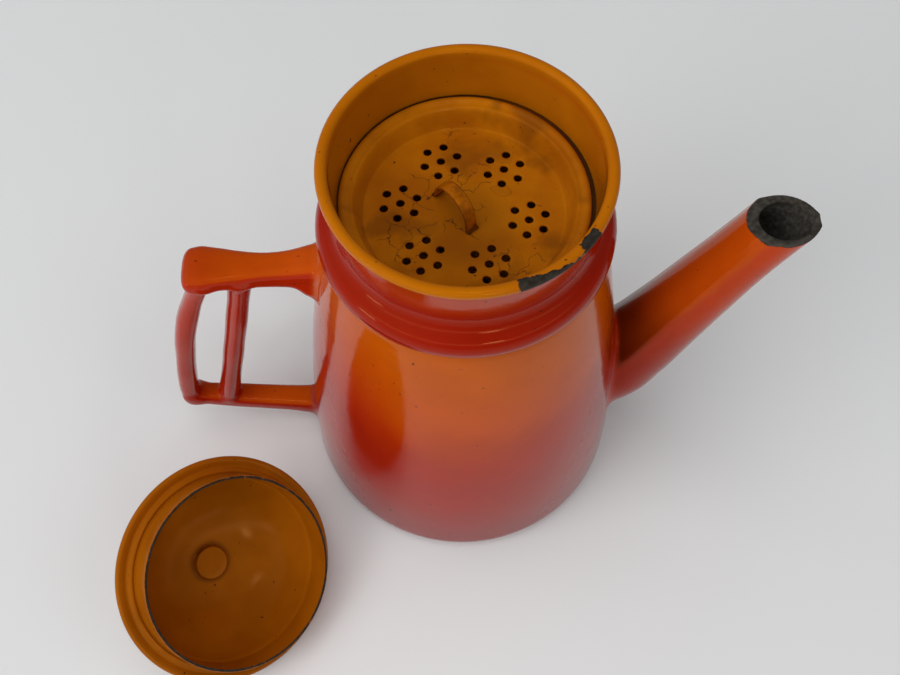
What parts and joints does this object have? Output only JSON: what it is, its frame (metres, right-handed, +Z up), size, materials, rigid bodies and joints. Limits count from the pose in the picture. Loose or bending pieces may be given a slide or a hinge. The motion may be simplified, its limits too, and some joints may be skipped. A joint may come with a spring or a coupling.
{
  "type": "drip coffee pot",
  "caption": "Enamelled drip coffee pot with a long spout, an open bar handle, a lift-out filter with a spreader and a separate domed lid.",
  "frame": {"origin": "on the pot's axis at the underside of its base", "axes": "+Z up along the pot's axis, +X towards the spout, handle at -X; the lid lies upside down at -X, -Y"},
  "size_m": [0.2873, 0.2106, 0.22],
  "materials": {
    "enamel_body": "glossy vitreous enamel, orange at the top fading to red at the foot",
    "enamel_spout": "glossy vitreous enamel, red with an orange top side; bare iron at the mouth and inside",
    "enamel_handle": "glossy vitreous enamel, orange on top and red on the bars",
    "enamel_hopper": "glossy vitreous enamel, orange inside and on the rim, red on the wall and the collar",
    "enamel_filter": "glossy orange vitreous enamel with hairline cracks",
    "enamel_lid": "glossy orange-brown vitreous enamel, worn to dark iron on the skirt's edge"
  },
  "bodies": {
    "pot": {"pot_body": "enamel_body", "spout": "enamel_spout", "handle": "enamel_handle"},
    "filter": {"filter_hopper": "enamel_hopper", "filter_cup": "enamel_filter"},
    "spreader": {"spreader_disc": "enamel_filter", "spreader_strap": "enamel_filter"},
    "lid": {"lid_shell": "enamel_lid", "lid_knob": "enamel_lid", "lid_rivet": "enamel_lid"}
  },
  "joints": [
    {"name": "filter_lift", "type": "slide", "parent": "pot", "child": "filter", "axis": [0, 0, 1], "range_m": [0, 0.1]},
    {"name": "spreader_lift", "type": "slide", "parent": "filter", "child": "spreader", "axis": [0, 0, 1], "range_m": [0, 0.06]},
    {"name": "lid_lift", "type": "slide", "parent": "pot", "child": "lid", "axis": [0, 0, 1], "range_m": [0, 0.12]}
  ]
}
